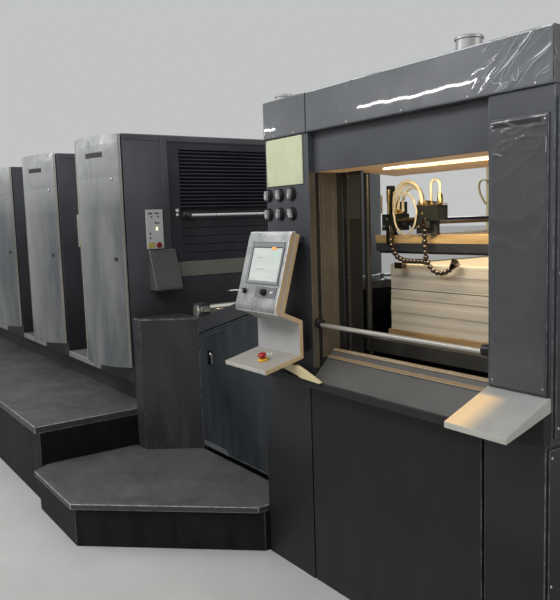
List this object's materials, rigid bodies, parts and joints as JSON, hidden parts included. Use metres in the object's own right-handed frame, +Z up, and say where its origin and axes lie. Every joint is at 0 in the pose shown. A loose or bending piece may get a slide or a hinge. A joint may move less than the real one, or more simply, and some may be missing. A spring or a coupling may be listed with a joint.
{
  "type": "sheetfed offset printing press",
  "caption": "Offset printing press with a feeder portal, pile hoist, suction head, tower printing units with curved guards, walkways and a delivery portal.",
  "frame": {"origin": "middle of the press on the floor, under the centre of its bounding box", "axes": "+X along the press toward the feeder, -Y is the operator side, +Z up"},
  "size_m": [10.72, 3.44, 2.2],
  "materials": {
    "charcoal_paint": "satin",
    "dark_paint": "satin",
    "black_paint": "matte",
    "silver_guard": "satin",
    "console_grey": "satin",
    "console_cream": "satin",
    "pale_plastic": "matte",
    "deck_plate": "coarse anti-slip",
    "galley_plate": "satin",
    "slant_paint": "satin",
    "polished_steel": "brushed",
    "chain_steel": "oiled",
    "paper": "matte",
    "wood": "matte",
    "sign_plate": "matte",
    "hose": "satin",
    "screen": "glossy",
    "control_plastic": "glossy",
    "lamp": "glowing"
  },
  "bodies": {
    "press": {"left_post": "charcoal_paint", "right_post": "charcoal_paint", "rear_posts": "charcoal_paint", "portal_roofs": "charcoal_paint", "portal_headers": "dark_paint", "lower_panels": "dark_paint", "feeder_tray": "pale_plastic", "side_shelf": "console_grey", "guard_rod": "polished_steel", "jamb_frame": "black_paint", "hoist_guides": "polished_steel", "hoist_chains": "chain_steel", "rake_bars": "black_paint", "rake_board": "wood", "suction_head": "black_paint", "head_rails": "polished_steel", "air_hoses": "hose", "blower_nozzles": "black_paint", "inspection_lamp": "lamp", "roof_spigots": "pale_plastic", "name_plate": "sign_plate", "console_frame": "console_cream", "console_housing": "console_grey", "console_screen": "screen", "console_buttons": "control_plastic", "console_bracket": "console_cream", "feed_board": "console_grey", "infeed_roller": "polished_steel", "side_frames": "charcoal_paint", "corner_cabinets": "charcoal_paint", "unit_towers": "charcoal_paint", "unit_grilles": "black_paint", "hand_rods": "polished_steel", "control_panels": "pale_plastic", "slant_covers": "slant_paint", "base_frame": "dark_paint", "galley_plates": "galley_plate", "walkway_decks": "deck_plate", "walkway_bases": "black_paint", "delivery_posts": "charcoal_paint", "delivery_panels": "dark_paint"},
    "pile": {"pile_carrier": "black_paint", "pile_board": "wood", "paper_pile": "paper"},
    "side_door": {"side_door": "dark_paint"},
    "guard_1": {"unit_guard_1": "silver_guard"},
    "guard_2": {"unit_guard_2": "silver_guard"},
    "guard_3": {"unit_guard_3": "silver_guard"},
    "guard_4": {"unit_guard_4": "silver_guard"},
    "knob_1": {"knob_1": "pale_plastic"},
    "knob_2": {"knob_2": "pale_plastic"},
    "knob_3": {"knob_3": "pale_plastic"},
    "knob_4": {"knob_4": "pale_plastic"},
    "knob_5": {"knob_5": "pale_plastic"},
    "knob_6": {"knob_6": "pale_plastic"}
  },
  "joints": [
    {"name": "pile_lift", "type": "slide", "parent": "press", "child": "pile", "axis": [0, 0, 1], "range_m": [-0.94, 0]},
    {"name": "side_door_hinge", "type": "hinge", "parent": "press", "child": "side_door", "pos_m": [3.797, -0.749, 0.6], "axis": [0, 0, 1], "range_deg": [0, 80]},
    {"name": "guard_1_hinge", "type": "hinge", "parent": "press", "child": "guard_1", "pos_m": [2.02, -1.095, 1.4], "axis": [0, 0, 1], "range_deg": [-90, 0]},
    {"name": "guard_2_hinge", "type": "hinge", "parent": "press", "child": "guard_2", "pos_m": [0.77, -1.095, 1.4], "axis": [0, 0, 1], "range_deg": [-90, 0]},
    {"name": "guard_3_hinge", "type": "hinge", "parent": "press", "child": "guard_3", "pos_m": [-0.48, -1.095, 1.4], "axis": [0, 0, 1], "range_deg": [-90, 0]},
    {"name": "guard_4_hinge", "type": "hinge", "parent": "press", "child": "guard_4", "pos_m": [-1.73, -1.095, 1.4], "axis": [0, 0, 1], "range_deg": [-90, 0]},
    {"name": "knob_1_turn", "type": "hinge", "parent": "press", "child": "knob_1", "pos_m": [3.888, -0.93, 1.715], "axis": [0, -1, 0], "range_deg": [-45, 45]},
    {"name": "knob_2_turn", "type": "hinge", "parent": "press", "child": "knob_2", "pos_m": [3.978, -0.93, 1.715], "axis": [0, -1, 0], "range_deg": [-45, 45]},
    {"name": "knob_3_turn", "type": "hinge", "parent": "press", "child": "knob_3", "pos_m": [4.068, -0.93, 1.715], "axis": [0, -1, 0], "range_deg": [-45, 45]},
    {"name": "knob_4_turn", "type": "hinge", "parent": "press", "child": "knob_4", "pos_m": [3.888, -0.93, 1.63], "axis": [0, -1, 0], "range_deg": [-45, 45]},
    {"name": "knob_5_turn", "type": "hinge", "parent": "press", "child": "knob_5", "pos_m": [3.978, -0.93, 1.63], "axis": [0, -1, 0], "range_deg": [-45, 45]},
    {"name": "knob_6_turn", "type": "hinge", "parent": "press", "child": "knob_6", "pos_m": [4.068, -0.93, 1.63], "axis": [0, -1, 0], "range_deg": [-45, 45]}
  ]
}
